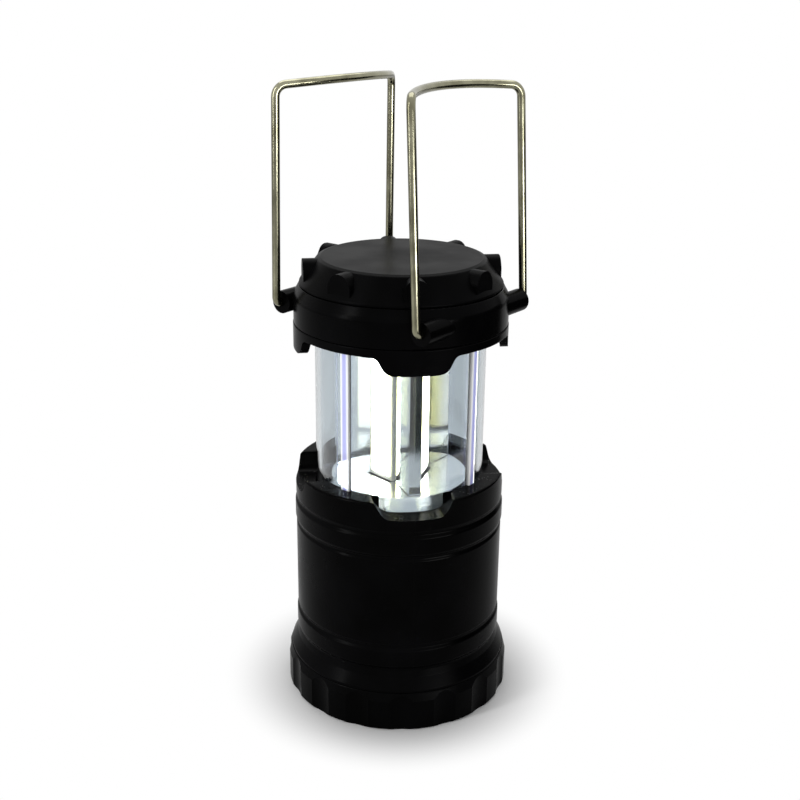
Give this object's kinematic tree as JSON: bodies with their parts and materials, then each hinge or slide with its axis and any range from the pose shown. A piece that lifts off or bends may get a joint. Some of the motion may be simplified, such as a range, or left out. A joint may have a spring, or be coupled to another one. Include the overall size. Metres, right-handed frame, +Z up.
{
  "type": "camping lantern",
  "caption": "Pull-up camping lantern: notched black base with a screw-on battery cover, clear ribbed tube round a lit mirror core, lugged cap and folding wire handles.",
  "frame": {"origin": "centre of the foot of the base cover, on the floor and on the lantern's axis", "axes": "+Z up along the lantern's axis, -Y towards the front (the side the picture shows), +X to the right"},
  "size_m": [0.1012, 0.1006, 0.2535],
  "materials": {
    "black_abs": "satin moulded ABS",
    "clear_polycarbonate": "clear, polished",
    "metallised_plastic": "vacuum metallised, bright",
    "nickel_wire": "nickel plated wire",
    "holder_plastic": "plain moulded",
    "seal_rubber": "smooth",
    "screw_steel": "zinc plated",
    "spring_steel": "nickel plated",
    "contact_brass": "plain",
    "battery_can": "plain sleeve",
    "light_board": "white solder mask",
    "light_strip": "phosphor gel, lit",
    "circuit_board": "green solder mask",
    "chip_plastic": "moulded"
  },
  "bodies": {
    "base": {"base_casing": "black_abs", "cover_seal": "seal_rubber", "battery_holder": "holder_plastic", "holder_screws": "screw_steel", "reflector_plate": "metallised_plastic", "battery_cell_1": "battery_can", "battery_cell_2": "battery_can", "battery_cell_3": "battery_can", "top_contact_1": "contact_brass", "top_contact_2": "contact_brass", "top_contact_3": "contact_brass", "contact_strip_positive": "contact_brass", "contact_strip_negative": "contact_brass"},
    "contact_carrier": {"contact_disc": "holder_plastic", "battery_spring_1": "spring_steel", "battery_spring_2": "spring_steel", "battery_spring_3": "spring_steel"},
    "cover": {"base_cover": "black_abs", "cover_screw": "screw_steel"},
    "head": {"top_cap": "black_abs", "head_ring": "black_abs", "skirt_ring": "black_abs", "lens_tube": "clear_polycarbonate", "reflector_core": "metallised_plastic", "cob_board_1": "light_board", "cob_board_2": "light_board", "cob_board_3": "light_board", "cob_strip_1": "light_strip", "cob_strip_2": "light_strip", "cob_strip_3": "light_strip", "driver_board": "circuit_board", "driver_parts": "chip_plastic", "board_screws": "screw_steel", "core_screws": "screw_steel", "skirt_screws": "screw_steel", "contact_pads": "contact_brass"},
    "handle_left": {"handle_left": "nickel_wire"},
    "handle_right": {"handle_right": "nickel_wire"}
  },
  "joints": [
    {"name": "head_slide", "type": "slide", "parent": "base", "child": "head", "axis": [0, 0, 1], "range_m": [-0.058, 0]},
    {"name": "cover_drop", "type": "slide", "parent": "base", "child": "contact_carrier", "axis": [0, 0, -1], "range_m": [0, 0.0045]},
    {"name": "cover_turn", "type": "hinge", "parent": "contact_carrier", "child": "cover", "pos_m": [0, 0, 0], "axis": [0, 0, -1], "range_deg": [0, 540]},
    {"name": "handle_right_swing", "type": "hinge", "parent": "head", "child": "handle_right", "pos_m": [0.02711, -0.02133, 0.1673], "axis": [0.6184, 0.7859, 0], "range_deg": [-9.8, 183.2]},
    {"name": "handle_left_swing", "type": "hinge", "parent": "head", "child": "handle_left", "pos_m": [-0.02711, 0.02133, 0.1673], "axis": [-0.6184, -0.7859, 0], "range_deg": [-12.1, 180.9]}
  ],
  "couplings": [
    {"joint": "cover_drop", "follows": "cover_turn", "m_per_rad": 0.00047746}
  ]
}
